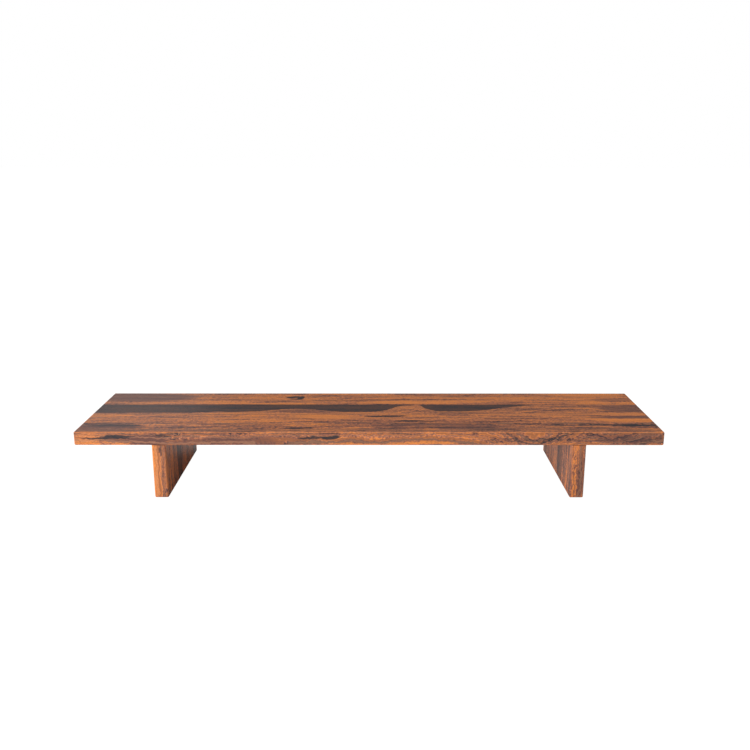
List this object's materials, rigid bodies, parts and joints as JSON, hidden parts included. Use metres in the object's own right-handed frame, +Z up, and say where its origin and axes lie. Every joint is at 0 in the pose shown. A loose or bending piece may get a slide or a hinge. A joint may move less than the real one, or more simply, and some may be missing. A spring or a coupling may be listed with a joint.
{
  "type": "monitor riser stand",
  "caption": "Low, wide wooden desk shelf that raises monitors: an edge-glued rosewood board on two upright panel legs set in from its ends, open front to back.",
  "frame": {"origin": "on the desk surface, under the middle of the shelf", "axes": "+X along the shelf to the right, +Y from the front edge to the back edge, +Z up"},
  "size_m": [1.0668, 0.254, 0.128],
  "materials": {
    "shelf_wood": "satin clear lacquer on rosewood with dark streaks",
    "leg_wood": "satin clear lacquer on rosewood with upright grain",
    "dowel_beech": "bare fluted beech",
    "bolt_steel": "black oxide",
    "washer_zinc": "bright zinc plate",
    "insert_brass": "turned brass",
    "pad_rubber": "moulded matte rubber"
  },
  "bodies": {
    "root": {"shelf_stave_front": "shelf_wood", "shelf_stave_mid_front": "shelf_wood", "shelf_stave_mid_back": "shelf_wood", "shelf_stave_back": "shelf_wood", "left_leg_stave_front": "leg_wood", "left_leg_stave_mid_front": "leg_wood", "left_leg_stave_mid_back": "leg_wood", "left_leg_stave_back": "leg_wood", "left_front_bolt": "bolt_steel", "left_front_washer": "washer_zinc", "left_front_threaded_insert": "insert_brass", "left_front_foot_pad": "pad_rubber", "left_back_bolt": "bolt_steel", "left_back_washer": "washer_zinc", "left_back_threaded_insert": "insert_brass", "left_back_foot_pad": "pad_rubber", "left_mid_front_dowel": "dowel_beech", "left_mid_back_dowel": "dowel_beech", "right_leg_stave_front": "leg_wood", "right_leg_stave_mid_front": "leg_wood", "right_leg_stave_mid_back": "leg_wood", "right_leg_stave_back": "leg_wood", "right_front_bolt": "bolt_steel", "right_front_washer": "washer_zinc", "right_front_threaded_insert": "insert_brass", "right_front_foot_pad": "pad_rubber", "right_back_bolt": "bolt_steel", "right_back_washer": "washer_zinc", "right_back_threaded_insert": "insert_brass", "right_back_foot_pad": "pad_rubber", "right_mid_front_dowel": "dowel_beech", "right_mid_back_dowel": "dowel_beech"}
  },
  "joints": []
}
